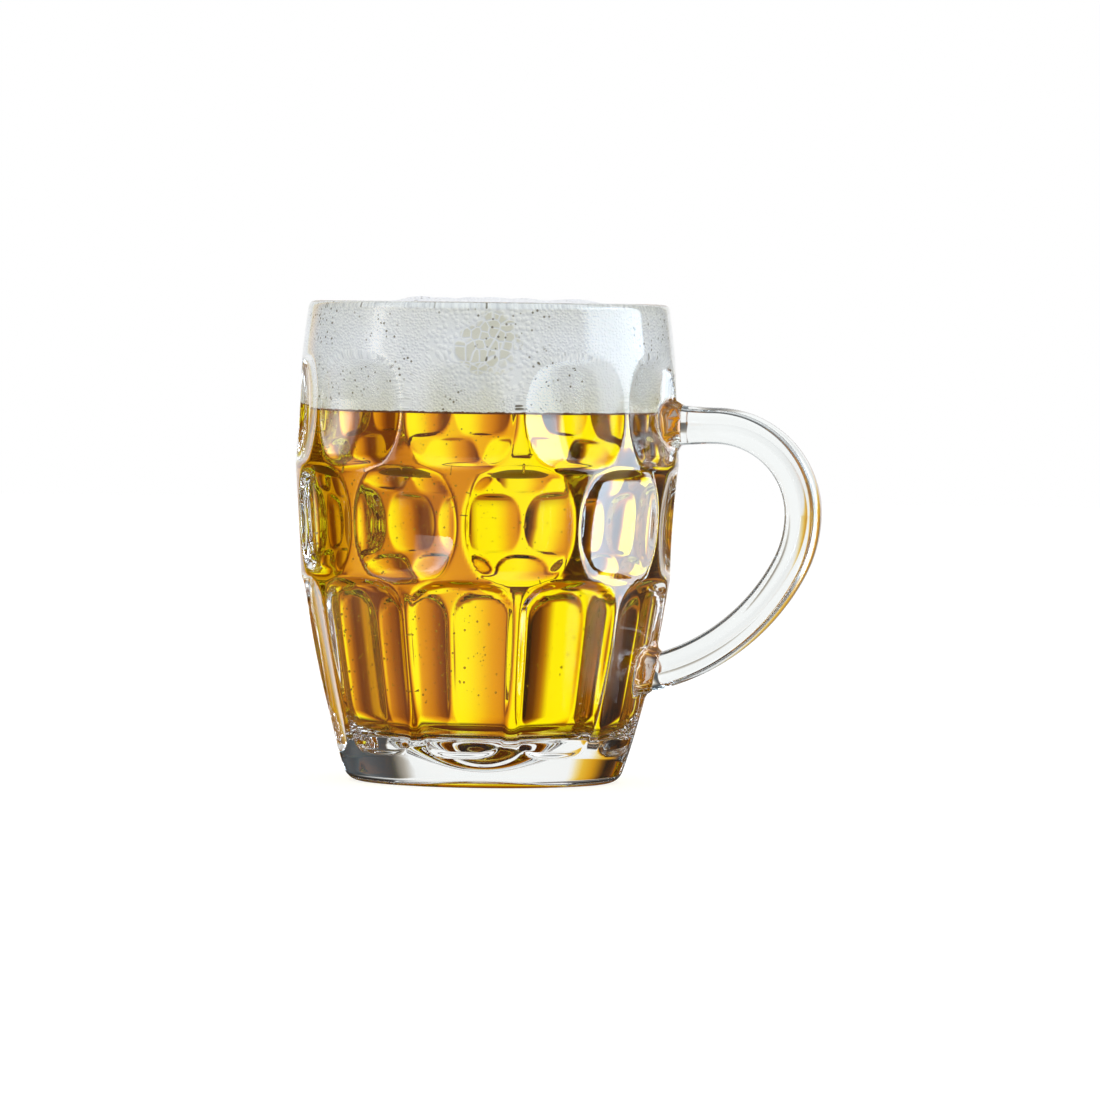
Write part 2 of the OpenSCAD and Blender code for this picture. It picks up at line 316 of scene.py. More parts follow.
@dataclass(frozen=True)
class FrothBody:
    """Beer froth: wet white foam, fine at its sides, with a patch of large bubbles in front."""

    name: str = "beer froth"
    # Painted light and shade: the lit and the shaded side of each bubble
    lit_side_colour: str = "FAFCFF"
    shaded_side_colour: str = "DEE1E8"
    # Painted shade in the middles of the large bubbles, beige under their bright walls
    large_bubble_shade_colour: str = "DCDBD0"
    pinhole_shade_colour: str = "7C776C"
    line_colour: str = "6A3A16"
    fine_cell: float = 0.75 * MM
    middle_cell: float = 1.25 * MM
    large_cell: float = 2.2 * MM
    # The patch of larger bubbles in front, whose edge wanders
    patch_place: Point = (5.9 * MM, -42.3 * MM, 115.0 * MM)
    patch_reach: float = 15 * MM
    patch_drift: float = 14 * MM
    drift_length: float = 9 * MM
    middle_edge: tuple[float, float] = (0.06, 0.12)
    large_edge: tuple[float, float] = (0.46, 0.54)
    unevenness: tuple[float, float] = (0.8, 0.9)
    # In a large bubble the distance from its wall is multiplied by the first and added to the
    # second, which gives the same measure as a small one's distance from its middle
    large_wall: tuple[float, float] = (-2.6, 0.66)
    large_shade_early: float = 0.02
    skin_share: tuple[float, float] = (0.62, 0.2)
    toward_light: Point = (0.08 * MM, 0, 0.14 * MM)
    lit_slope: float = 0.24
    # Dark pinholes, in loose fields: painted shade in small holes of the foam
    hole_pitch: float = 1.5 * MM
    hole_share: tuple[float, float] = (0.24, 0.16)
    hole_field: float = 11 * MM
    hole_spread: tuple[float, float] = (0.5, 0.58)
    # The brown, ragged line where the head stands in the drink
    line_height: float = DRINK_TOP + 0.6 * MM
    line_edge: tuple[float, float] = (-0.4 * MM, -0.55 * MM)
    line_grain: float = 1.1 * MM
    line_wander: float = 0.9 * MM
    bump_height: float = 0.2 * MM
    bump_strength: float = 0.6
    roughness: float = 0.35

    def relief(self, tree: bpy.types.NodeTree, place: bpy.types.NodeSocket,
               near: bpy.types.NodeSocket) -> bpy.types.NodeSocket:
        """Give the height of the bubbles' skins, larger towards the middle of the patch.

        Args:
            tree: the material's tree.
            place: where in the froth a point lies.
            near: how deep in the patch of large bubbles it lies, from 0 to 1.

        Returns:
            The height, from 0 at a wall to 1 in the middle of a bubble.
        """
        ring = add_node(tree, "ShaderNodeMapRange", Value=near, From_Min=self.middle_edge[0],
                        From_Max=self.middle_edge[1])
        core = add_node(tree, "ShaderNodeMapRange", Value=near, From_Min=self.large_edge[0],
                        From_Max=self.large_edge[1])
        fine, middle = (
            add_node(tree, "ShaderNodeTexVoronoi", {"feature": "F1"}, Vector=place,
                     Scale=1 / size, Randomness=self.unevenness[0])
            for size in (self.fine_cell, self.middle_cell))
        outer = add_node(tree, "ShaderNodeMix", {"data_type": "FLOAT"}, in0=ring.outputs[0],
                         in2=fine.outputs["Distance"], in3=middle.outputs["Distance"])
        walls = add_node(tree, "ShaderNodeTexVoronoi", {"feature": "DISTANCE_TO_EDGE"},
                         Vector=place, Scale=1 / self.large_cell,
                         Randomness=self.unevenness[1])
        domed = add_node(tree, "ShaderNodeMath", {"operation": "MULTIPLY_ADD"},
                         in0=walls.outputs["Distance"], in1=self.large_wall[0],
                         in2=self.large_wall[1])
        inner = add_node(tree, "ShaderNodeMix", {"data_type": "FLOAT"}, in0=core.outputs[0],
                         in2=outer.outputs[0], in3=domed.outputs[0])
        return add_node(tree, "ShaderNodeMapRange", {"interpolation_type": "SMOOTHSTEP"},
                        Value=inner.outputs[0], From_Min=self.skin_share[0],
                        From_Max=self.skin_share[1]).outputs[0]

    def bubbles(self, tree: bpy.types.NodeTree, place: bpy.types.NodeSocket
                ) -> tuple[bpy.types.NodeSocket, bpy.types.NodeSocket]:
        """Give the bubbles their height, and a painted lit side and a painted shaded side.

        Args:
            tree: the material's tree.
            place: where in the froth a point lies.

        Returns:
            The height of the bubbles' skins, and the foam's colour with its painted light and shade,
            without its pinholes.
        """
        drift = add_node(tree, "ShaderNodeTexNoise", Vector=place, Scale=1 / self.drift_length,
                         Detail=2.0)
        away = add_node(tree, "ShaderNodeVectorMath", {"operation": "DISTANCE"}, in0=place,
                        in1=self.patch_place)
        uneven = add_node(tree, "ShaderNodeMath", {"operation": "MULTIPLY_ADD"},
                          in0=drift.outputs["Fac"], in1=self.patch_drift,
                          in2=away.outputs["Value"])
        near = add_node(tree, "ShaderNodeMapRange", Value=uneven.outputs[0],
                        From_Min=self.patch_reach + self.patch_drift / 2,
                        From_Max=self.patch_drift / 2).outputs[0]
        height = self.relief(tree, place, near)
        aside = add_node(tree, "ShaderNodeVectorMath", {"operation": "ADD"}, in0=place,
                         in1=self.toward_light)
        shifted = self.relief(tree, aside.outputs[0], near)
        slope = add_node(tree, "ShaderNodeMath", {"operation": "SUBTRACT"}, in0=height,
                         in1=shifted)
        lit = add_node(tree, "ShaderNodeMapRange", Value=slope.outputs[0],
                       From_Min=-self.lit_slope, From_Max=self.lit_slope)
        # Painted light and shade: each bubble's side toward the light takes the lit colour, its other
        # side the shaded colour
        tone = add_node(tree, "ShaderNodeMix", {"data_type": "RGBA"}, in0=lit.outputs[0],
                        in6=linear(self.shaded_side_colour), in7=linear(self.lit_side_colour))
        # Painted shade: in the patch, the middles of the large bubbles darken towards a beige shade
        inside = add_node(tree, "ShaderNodeMapRange", Value=near,
                          From_Min=self.large_edge[0] - self.large_shade_early,
                          From_Max=self.large_edge[1])
        held = add_node(tree, "ShaderNodeMath", {"operation": "MULTIPLY"}, in0=inside.outputs[0],
                        in1=height)
        large = add_node(tree, "ShaderNodeMix", {"data_type": "RGBA"}, in0=held.outputs[0],
                         in6=tone.outputs[2], in7=linear(self.large_bubble_shade_colour))
        return height, large.outputs[2]

    def pinholes(self, tree: bpy.types.NodeTree, place: bpy.types.NodeSocket
                 ) -> bpy.types.NodeSocket:
        """Scatter dark pinholes in loose fields, painted shade in small holes of the foam.

        Args:
            tree: the material's tree.
            place: where in the froth a point lies.

        Returns:
            One in a pinhole, and 0 outside.
        """
        dot = add_node(tree, "ShaderNodeTexVoronoi", {"feature": "F1"}, Vector=place,
                       Scale=1 / self.hole_pitch)
        spot = add_node(tree, "ShaderNodeMapRange", Value=dot.outputs["Distance"],
                        From_Min=self.hole_share[0], From_Max=self.hole_share[1])
        where = add_node(tree, "ShaderNodeTexNoise", Vector=place, Scale=1 / self.hole_field,
                         Detail=1.0)
        few = add_node(tree, "ShaderNodeMapRange", Value=where.outputs["Fac"],
                       From_Min=self.hole_spread[0], From_Max=self.hole_spread[1])
        return add_node(tree, "ShaderNodeMath", {"operation": "MULTIPLY"}, in0=spot.outputs[0],
                        in1=few.outputs[0]).outputs[0]

    def wet_foot(self, tree: bpy.types.NodeTree, place: bpy.types.NodeSocket
                 ) -> bpy.types.NodeSocket:
        """Mark the ragged line where the froth stands in the drink.

        Args:
            tree: the material's tree.
            place: where in the froth a point lies.

        Returns:
            One under the line, and 0 above.
        """
        level = add_node(tree, "ShaderNodeSeparateXYZ", Vector=place)
        rough = add_node(tree, "ShaderNodeTexNoise", Vector=place, Scale=1 / self.line_grain)
        ragged = add_node(tree, "ShaderNodeMath", {"operation": "MULTIPLY_ADD"},
                          in0=rough.outputs["Fac"], in1=-self.line_wander,
                          in2=level.outputs["Z"])
        return add_node(tree, "ShaderNodeMapRange", Value=ragged.outputs[0],
                        From_Min=self.line_height + self.line_edge[0],
                        From_Max=self.line_height + self.line_edge[1]).outputs[0]

    def material(self) -> bpy.types.Material:
        """Build the foam: bubbles with painted lit and shaded sides and painted shade in the large
        ones, dark pinholes of painted shade and a wet foot.

        Returns:
            The material, moist enough for a soft shine.
        """
        material, tree, output = new_material(self.name)
        place = add_node(tree, "ShaderNodeTexCoord").outputs["Object"]
        height, tone = self.bubbles(tree, place)
        # Painted shade: the pinholes darken the foam to grey-brown
        pitted = add_node(tree, "ShaderNodeMix", {"data_type": "RGBA"},
                          in0=self.pinholes(tree, place), in6=tone,
                          in7=linear(self.pinhole_shade_colour))
        colour = add_node(tree, "ShaderNodeMix", {"data_type": "RGBA"},
                          in0=self.wet_foot(tree, place), in6=pitted.outputs[2],
                          in7=linear(self.line_colour))
        bump = add_node(tree, "ShaderNodeBump", Strength=self.bump_strength,
                        Distance=self.bump_height, Height=height)
        foam = add_node(tree, "ShaderNodeBsdfPrincipled", Base_Color=colour.outputs[2],
                        Roughness=self.roughness, Specular_IOR_Level=0.5, Normal=bump.outputs["Normal"])
        tree.links.new(foam.outputs["BSDF"], output.inputs["Surface"])
        return material


@dataclass(frozen=True)
class GasBubble:
    """Carbon dioxide clinging to the glass: a tiny lens with a dark edge."""

    name: str = "carbon dioxide bubble"
    ior: float = 1 / LAGER_IOR

    def material(self) -> bpy.types.Material:
        """Build the bubble's face against the drink."""
        return clear_material(self.name, self.ior)[0]


@dataclass
class GlassBowl:
    """The pressed barrel, with its dimples, flutes, lip, thick foot and the handle's two pads."""

    # The turned wall, its bore and its dished floor
    height: float = 126 * MM
    belly_radius: float = 50.4 * MM
    belly_height: float = 83.7 * MM
    rim_radius: float = 47.3 * MM
    base_radius: float = 35.6 * MM
    heel_rounding: float = 4 * MM
    lip_rounding: float = 1.9 * MM
    floor_height: float = 13 * MM
    floor_rounding: float = 9 * MM
    floor_margin: float = 1 * MM
    dish_radius: float = 17 * MM
    dish_depth: float = 5.8 * MM
    dish_power: float = 1.5
    draft: float = math.radians(1.4)
    knee_height: float = 95 * MM
    knee_radius: float = 620 * MM
    # The pressed rows, each of this many dimples or flutes
    repeats: int = 10
    shoulder: float = 15 * MM
    dimple_height: float = 27 * MM
    dimple_depth: float = 4.2 * MM
    row_land: float = 1.8 * MM
    rib: float = 2.2 * MM
    dish_across: float = 60 * MM
    dish_along: float = 45 * MM
    corner_power: float = 3.6
    edge_share: float = 0.085
    fold_softness: float = 0.12 * MM
    flute_foot: float = 8.6 * MM
    flute_depth: float = 3.3 * MM
    flute_arch: float = 8 * MM
    flute_foot_depth: float = 1.3 * MM
    flute_foot_arch: float = 5.0 * MM
    flute_hollow: float = 125 * MM
    flute_power: float = 2.6
    # The foot ring and the shallow recess inside it
    ring_width: float = 3.2 * MM
    ring_slope: float = 3 * MM
    punt: float = 1.2 * MM
    # The two flat pads that carry the handle
    pad_rise: float = 1.6 * MM
    pad_width: float = 14.86 * MM
    upper_pad: float = 94.4 * MM
    upper_pad_height: float = 11.56 * MM
    lower_pad: float = 29.8 * MM
    lower_pad_height: float = 11.8 * MM
    pad_power: float = 3
    pad_edge: tuple[float, float] = (0.93, 1.09)
    pad_lean_span: float = 10 * MM
    # How near a point must lie to count as one of the skin, the bore or the floor
    skin_margin: float = 0.02 * MM
    bore_margin: float = 0.4 * MM
    floor_face_margin: float = 0.5 * MM
    # How finely the bowl is modelled
    columns: int = 430
    step: float = 1.1 * MM
    fine_step: float = 0.5 * MM
    fine_below: float = 15 * MM
    bore_step: float = 3 * MM
    rounding_rows: int = 8
    floor_rows: int = 40
    heel_rows: int = 9
    lip_rows: int = 12
    lower_arc: float = field(init=False)
    upper_arc: float = field(init=False)

    def __post_init__(self) -> None:
        """Work out the barrel's two arcs, which meet upright at the belly."""
        self.lower_arc = self.arc_through(self.belly_height, self.belly_radius - self.base_radius)
        self.upper_arc = self.arc_through(self.height - self.belly_height,
                                          self.belly_radius - self.rim_radius)

    @staticmethod
    def arc_through(rise: float, inset: float) -> float:
        """Return the radius of an arc that moves in by inset over a rise from its upright end."""
        return (rise * rise + inset * inset) / (2 * inset)

    def barrel(self, height: np.ndarray | float) -> np.ndarray:
        """Work out the barrel over its ribs.

        Args:
            height: the heights to look at.

        Returns:
            The radius at each height.
        """
        h = np.asarray(height, dtype=float)
        arc = np.where(h < self.belly_height, self.lower_arc, self.upper_arc)
        return self.belly_radius - arc + np.sqrt(arc ** 2 - (h - self.belly_height) ** 2)

    def lean(self, low: float, high: float) -> float:
        """Return the slope of the barrel between two heights, as radius gained for each height."""
        return float((self.barrel(high) - self.barrel(low)) / (high - low))

    def rounding(self, radius: float, arc: float, height: float) -> tuple[float, float]:
        """Place a rounding that touches an arc of the barrel.

        Args:
            radius: the rounding's own radius.
            arc: the radius of the barrel's arc that it touches.
            height: the height of the rounding's centre.

        Returns:
            The centre's distance from the axis, and the angle at which the two touch.
        """
        rise = height - self.belly_height
        reach = math.sqrt((arc - radius) ** 2 - rise ** 2)
        return self.belly_radius - arc + reach, math.asin(rise / (arc - radius))

    def bore(self, height: float) -> float:
        """Work out the bore above its floor rounding.

        Args:
            height: the height to look at.

        Returns:
            The radius there.
        """
        lip_centre, _ = self.rounding(self.lip_rounding, self.upper_arc,
                                      self.height - self.lip_rounding)
        below = max(0.0, self.knee_height - height)
        curve = self.knee_radius - math.sqrt(self.knee_radius ** 2 - below ** 2)
        straight = math.tan(self.draft) * (self.height - self.lip_rounding - height)
        return lip_centre - self.lip_rounding - straight - curve

    def bore_outline(self, top: float, inset: float = 0.0) -> list[tuple[float, float]]:
        """List the bore's wall and floor from a height down to the axis.

        Args:
            top: the height to start at.
            inset: how far the outline stays off the glass.

        Returns:
            Radius and height of each point.
        """
        centre_h = self.floor_height + self.floor_rounding
        lean = self.draft + math.asin((self.knee_height - centre_h) / self.knee_radius)
        wall_end = centre_h - self.floor_rounding * math.sin(lean)
        centre_r = self.bore(wall_end) - self.floor_rounding * math.cos(lean)
        radius = self.floor_rounding - inset
        wall = [h for h in np.arange(top, wall_end, -self.bore_step)] + [wall_end]
        outline = [(self.bore(h) - inset, float(h)) for h in wall]
        rows = self.rounding_rows
        turns = [mix(lean, math.pi / 2, i / rows) for i in range(1, rows + 1)]
        outline += [(centre_r + radius * math.cos(a), centre_h - radius * math.sin(a))
                    for a in turns]
        outline += [(float(r), self.floor_at(float(r)) + inset)
                    for r in np.linspace(outline[-1][0] - self.floor_margin, 0, self.floor_rows)]
        return outline

    def floor_at(self, reach: float) -> float:
        """Return the height of the inside floor, dished in its middle, at a distance from the axis."""
        share = max(0.0, 1 - (reach / self.dish_radius) ** 2)
        return self.floor_height - self.dish_depth * share ** self.dish_power

    def outline(self) -> list[tuple[float, float]]:
        """List the glass's whole section, from under the foot, over the lip, to the floor.

        Returns:
            Radius and height of each point.
        """
        heel_c, heel_a = self.rounding(self.heel_rounding, self.lower_arc, self.heel_rounding)
        lip_h = self.height - self.lip_rounding
        lip_c, lip_a = self.rounding(self.lip_rounding, self.upper_arc, lip_h)
        ring_inner = heel_c - self.ring_width
        foot = [(0.0, self.punt), (ring_inner / 2, self.punt),
                (ring_inner - self.ring_slope, self.punt),
                (ring_inner - self.ring_slope * 0.4, self.punt * 0.6), (ring_inner, 0.0)]
        heel = [(heel_c + self.heel_rounding * math.sin(a), self.heel_rounding * (1 - math.cos(a)))
                for a in np.linspace(0, math.pi / 2 + heel_a, self.heel_rows)]
        wall_low = heel[-1][1]
        wall_high = lip_h + self.lip_rounding * math.sin(lip_a)
        fine = np.arange(wall_low, self.fine_below, self.fine_step)[1:]
        rows = int((wall_high - fine[-1]) / self.step)
        wall = [(float(self.barrel(h)), float(h))
                for h in [*fine, *np.linspace(fine[-1], wall_high, rows)[1:]]]
        lip = [(lip_c + self.lip_rounding * math.cos(a), lip_h + self.lip_rounding * math.sin(a))
               for a in np.linspace(lip_a, math.pi, self.lip_rows)[1:]]
        return foot + heel + wall + lip + self.bore_outline(lip_h)[1:]

    def row_span(self, row: Row) -> tuple[float, float, float]:
        """Place a row of the pattern.

        Args:
            row: the row to place.

        Returns:
            Its lowest and highest point, and its turn as a share of the pitch.
        """
        top = self.height - self.shoulder
        if row is Row.UPPER:
            return top - self.dimple_height, top, 0.5
        top -= self.dimple_height + self.row_land
        if row is Row.MIDDLE:
            return top - self.dimple_height, top, 0.0
        return self.flute_foot, top - self.dimple_height - self.row_land, 0.5

    def off_centre(self, azimuth: np.ndarray, turn: float) -> np.ndarray:
        """Return the angle from the middle of the nearest dimple of a row."""
        pitch = FULL_TURN / self.repeats
        return (azimuth - turn * pitch + pitch / 2) % pitch - pitch / 2

    def dimple_floor(self, row: Row, azimuth: np.ndarray, height: np.ndarray
                     ) -> tuple[np.ndarray, np.ndarray]:
        """Work out one row of the pattern at points of the wall.

        Args:
            row: the row of the pattern.
            azimuth: the points' angles round the axis.
            height: the points' heights.

        Returns:
            The radius of the sunk floor, and how much of it shows, from 0 on a rib to 1.
        """
        low, high, turn = self.row_span(row)
        off = self.off_centre(azimuth, turn)
        across = self.barrel(height) * np.sin(off)
        half_pitch = np.sin(math.pi / self.repeats)
        if row is Row.FLUTES:
            shoulder = high - self.flute_arch / 2
            foot_r = float(self.barrel(low)) - self.flute_foot_depth
            slope = (float(self.barrel(shoulder)) - self.flute_depth - foot_r) / (shoulder - low)
            plane = foot_r + slope * (height - low) + across ** 2 / (2 * self.flute_hollow)
            half = self.barrel(np.clip(height, low, high - self.flute_arch)) * half_pitch
            half = half - self.rib / 2
            up = np.clip((height - high + self.flute_arch) / self.flute_arch, 0, None)
            up += np.clip((low + self.flute_foot_arch - height) / self.flute_foot_arch, 0, None)
            n = self.flute_power
            edge = (np.abs(across / half) ** n + up ** n) ** (1 / n)
        else:
            middle = (low + high) / 2
            up = height - middle
            plane = (float(self.barrel(middle)) - self.dimple_depth + self.lean(low, high) * up
                     + across ** 2 / (2 * self.dish_across) + up ** 2 / (2 * self.dish_along))
            half = float(self.barrel(middle)) * half_pitch - self.rib / 2
            n = self.corner_power
            edge = (np.abs(across / half) ** n
                    + np.abs(up / (self.dimple_height / 2)) ** n) ** (1 / n)
        shown = 1 - smooth_step(1 - self.edge_share, 1 + self.edge_share, edge)
        return plane / np.cos(off), shown

    def skin_radius(self, azimuth: np.ndarray, height: np.ndarray) -> np.ndarray:
        """Sink the dimples and flutes into the outer skin.

        Args:
            azimuth: the points' angles round the axis.
            height: the points' heights.

        Returns:
            The skin's radius at each point.
        """
        barrel = self.barrel(height)
        radius = barrel.copy()
        soft = self.fold_softness
        for row in Row:
            floor, shown = self.dimple_floor(row, azimuth, height)
            gap = barrel - floor
            depth = (gap + np.sqrt(gap ** 2 + soft ** 2)) / 2 - soft / 2
            radius -= np.clip(depth, 0, None) * shown
        return radius

    def pad_middle(self, centre: float) -> float:
        """Return how far out the middle of a pad lies, at its own height."""
        return float(self.barrel(centre)) + self.pad_rise

    def pad_plane(self, height: np.ndarray, centre: float) -> np.ndarray:
        """Work out a pad's flat face, which leans with the barrel where that narrows.

        Args:
            height: the heights to look at.
            centre: the height of the pad's middle.

        Returns:
            How far out the face lies at each height.
        """
        span = self.pad_lean_span
        tilt = self.lean(centre - span, centre + span) if centre < self.belly_height / 2 else 0
        return self.pad_middle(centre) + tilt * (height - centre)

    def press_pattern(self, piece: bpy.types.Object) -> None:
        """Sink the pattern into the spun barrel and raise the two pads on it.

        Args:
            piece: the spun barrel.
        """
        points = points_of(piece)
        radius = np.hypot(points[:, 0], points[:, 1])
        height = points[:, 2]
        azimuth = np.arctan2(points[:, 1], points[:, 0])
        skin = np.abs(radius - self.barrel(height)) < self.skin_margin
        skin &= height > self.heel_rounding
        pressed = np.where(skin, self.skin_radius(azimuth, height), radius)
        n = self.pad_power
        for centre, tall in ((self.upper_pad, self.upper_pad_height),
                             (self.lower_pad, self.lower_pad_height)):
            face = self.pad_plane(height, centre) / np.cos(azimuth)
            edge = (np.abs(pressed * np.sin(azimuth) / (self.pad_width / 2)) ** n
                    + np.abs((height - centre) / (tall / 2)) ** n) ** (1 / n)
            raised = (1 - smooth_step(*self.pad_edge, edge)) * (np.cos(azimuth) > 0) * skin
            pressed = pressed + (face - pressed) * raised
        points[:, 0] = pressed * np.cos(azimuth)
        points[:, 1] = pressed * np.sin(azimuth)
        move_points(piece, points)

    def dress(self, piece: bpy.types.Object, wet_top: float) -> None:
        """Give the skin its glass and the wetted bore its own face.

        Args:
            piece: the finished bowl.
            wet_top: the height up to which drink or froth wets the bore.
        """
        piece.data.materials.append(PressedGlass().material())
        piece.data.materials.append(WetBore().material())
        for face in piece.data.polygons:
            middle = face.center
            reach = math.hypot(middle.x, middle.y)
            bore = self.bore(max(middle.z, self.floor_height))
            inside = reach < bore + self.bore_margin
            above_floor = middle.z > self.floor_at(reach) - self.floor_face_margin
            face.material_index = int(inside and above_floor and middle.z < wet_top)

    def build(self, wet_top: float) -> bpy.types.Object:
        """Model the bowl.

        Args:
            wet_top: the height up to which drink or froth wets the bore.

        Returns:
            The bowl, which stands for the frame's own.
        """
        piece = turned_shell("pressed_bowl", self.outline(), self.columns)
        self.press_pattern(piece)
        self.dress(piece, wet_top)
        return piece


@dataclass(frozen=True)
class LoopPath:
    """The route of the handle's bar, in the plane that halves it: places are x and z."""

    start: float
    bend: tuple[float, float]
    elbow: tuple[float, float]
    sweep: tuple[float, float]
    elbow_turn: float
    landing: float


@dataclass
class Handle:
    """The stuck-on loop: one full-cornered bar, bent three times, flat on both pads."""

    thickness: float = 9.6 * MM
    width: float = 12.6 * MM
    upper_height: float = GlassBowl.upper_pad
    lower_height: float = GlassBowl.lower_pad
    reach: float = 83.7 * MM
    upper_bend: float = 23 * MM
    elbow_bend: float = 30 * MM
    lower_sweep: float = 55 * MM
    flare: float = 0.1
    flare_reach: float = 9 * MM
    clearance: float = FIT
    section_power: float = 3.2
    back_share: float = 0.5
    crease_depth: float = 1.385 * MM
    crease_place: float = 0.6 * MM
    crease_sides: tuple[float, float] = (1.97 * MM, 3.4 * MM)
    crease_power: float = 0.98
    sides: int = 240
    limb_steps: int = 10
    bend_steps: tuple[int, int, int] = (36, 24, 28)
    turn_slack: float = 0.001
    crisp_edge: float = math.radians(40)

    def path(self, bowl: GlassBowl) -> LoopPath:
        """Work out the bar's route from the upper pad to the lower one.

        Args:
            bowl: the bowl that it lands on.

        Returns:
            The bar's start, the centres of its three bends, the angle at which the lower sweep
            begins about its centre, and the angle at which it ends.
        """
        grip_h = self.upper_height - self.upper_bend
        elbow_x = self.reach - self.elbow_bend
        land_x = bowl.pad_middle(self.lower_height) + self.clearance
        run, drop = land_x - elbow_x, grip_h - self.lower_height
        offset = self.lower_sweep - self.elbow_bend
        span = math.hypot(run, drop)
        corner = math.acos((offset ** 2 + span ** 2 - self.lower_sweep ** 2) / (2 * offset * span))
        elbow_turn = math.atan2(-drop, run) - corner + math.pi
        sweep = (elbow_x - offset * math.cos(elbow_turn), grip_h - offset * math.sin(elbow_turn))
        landing = math.atan2(self.lower_height - sweep[1], land_x - sweep[0])
        return LoopPath(start=bowl.pad_middle(self.upper_height) + self.clearance,
                        bend=(self.reach - self.upper_bend, grip_h), elbow=(elbow_x, grip_h),
                        sweep=sweep, elbow_turn=elbow_turn, landing=landing)

    def square_up(self, piece: bpy.types.Object) -> None:
        """Widen the round end ring into the bar's section, a full oval creased at the back.

        Args:
            piece: the end ring.
        """
        points = points_of(piece)
        out = points[:, 1] / (self.thickness / 2)
        up = (points[:, 2] - self.upper_height) / (self.thickness / 2)
        power = self.section_power
        size = (np.abs(out) ** power + np.abs(up) ** power) ** (1 / power)
        size = np.where(size > 0, size, 1)
        outward = up / size * self.thickness / 2
        off = outward - self.crease_place
        off = np.abs(off) / np.where(off < 0, *self.crease_sides)
        crease = self.crease_depth * np.clip(1 - off, 0, 1) ** self.crease_power
        points[:, 1] = out / size * self.width / 2 - crease * (out > self.back_share)
        points[:, 2] = self.upper_height + outward
        move_points(piece, points)

    def spin_ring(self, centre: tuple[float, float], turn: float, steps: int) -> None:
        """Carry the selected ring round a centre in the plane of the handle.

        Args:
            centre: the x and z of the bend's centre.
            turn: the angle of the bend, positive from the top limb down.
            steps: how many rings the bend adds.
        """
        bpy.ops.mesh.spin(steps=steps, angle=-turn, center=(centre[0], 0, centre[1]),
                          axis=(0, 1, 0))

    def seat_ends(self, piece: bpy.types.Object, bowl: GlassBowl, path: LoopPath) -> None:
        """Swell the upper end, and lean the lower end's rings until the last lies on its pad.

        Args:
            piece: the bent bar.
            bowl: the bowl that it lands on.
            path: the bar's route.
        """
        points = points_of(piece)
        along = points[:, 0] - path.start
        near = (points[:, 2] > self.upper_height - self.thickness) & (along < self.flare_reach)
        fading = 1 - np.clip(along / self.flare_reach, 0, 1)
        swell = np.where(near, 1 + self.flare * fading ** 2, 1.0)
        points[:, 1] *= swell
        points[:, 2] = self.upper_height + (points[:, 2] - self.upper_height) * swell
        lean = math.atan(bowl.lean(self.lower_height - self.thickness,
                                   self.lower_height + self.thickness))
        x, z = path.sweep
        way = np.arctan2(points[:, 2] - z, points[:, 0] - x)
        off = np.hypot(points[:, 2] - z, points[:, 0] - x) - self.lower_sweep
        low = way < path.elbow_turn + self.turn_slack
        share = np.clip((path.elbow_turn - way) / (path.elbow_turn - path.landing), 0, 1)
        face = way + (-lean - math.pi / 2 - way) * share ** 2
        out = off / np.cos(face - way)
        points[:, 0] = np.where(low, x + self.lower_sweep * np.cos(way) + out * np.cos(face),
                                points[:, 0])
        points[:, 2] = np.where(low, z + self.lower_sweep * np.sin(way) + out * np.sin(face),
                                points[:, 2])
        move_points(piece, points)

    def build(self, bowl: GlassBowl) -> bpy.types.Object:
        """Model the handle against the bowl's pads.

        Args:
            bowl: the bowl that it lands on.

        Returns:
            The handle, which stands for the frame's own.
        """
        path = self.path(bowl)
        deselect_all()
        bpy.ops.mesh.primitive_circle_add(vertices=self.sides, radius=self.thickness / 2,
                                          fill_type="NGON", rotation=(0, math.pi / 2, 0),
                                          location=(path.start, 0, self.upper_height))
        piece = bpy.context.object
        piece.name = "loop_handle"
        bpy.ops.object.transform_apply(location=True, rotation=True, scale=True)
        self.square_up(piece)
        bpy.ops.object.mode_set(mode="EDIT")
        bpy.ops.mesh.select_all(action="SELECT")
        step = (path.bend[0] - path.start) / self.limb_steps
        for _ in range(self.limb_steps):
            bpy.ops.mesh.extrude_region_move(TRANSFORM_OT_translate={"value": (step, 0, 0)})
        self.spin_ring(path.bend, math.pi / 2, self.bend_steps[0])
        self.spin_ring(path.elbow, -path.elbow_turn, self.bend_steps[1])
        self.spin_ring(path.sweep, path.elbow_turn - path.landing, self.bend_steps[2])
        bpy.ops.mesh.select_all(action="SELECT")
        bpy.ops.mesh.remove_doubles(threshold=WELD)
        bpy.ops.mesh.normals_make_consistent(inside=False)
        bpy.ops.object.mode_set(mode="OBJECT")
        self.seat_ends(piece, bowl, path)
        bpy.ops.object.shade_smooth_by_angle(angle=self.crisp_edge)
        piece.data.materials.append(PressedGlass().material())
        return piece


@dataclass
class Lager:
    """The drink, a clear body that fills the bore up to the froth."""

    surface: float = DRINK_TOP
    inset: float = FIT
    columns: int = 240
    crisp_edge: float = math.radians(40)

    def build(self, bowl: GlassBowl) -> bpy.types.Object:
        """Model the drink inside the bowl's bore.

        Args:
            bowl: the bowl that holds it.

        Returns:
            The drink, which stands for the frame's own.
        """
        wall = bowl.bore_outline(self.surface, self.inset)
        top = [(0.0, self.surface), (wall[0][0] / 2, self.surface)]
        piece = turned_shell("lager_body", top + wall, self.columns)
        piece.data.materials.append(LagerBody().material())
        bpy.ops.object.shade_smooth_by_angle(angle=self.crisp_edge)
        return piece


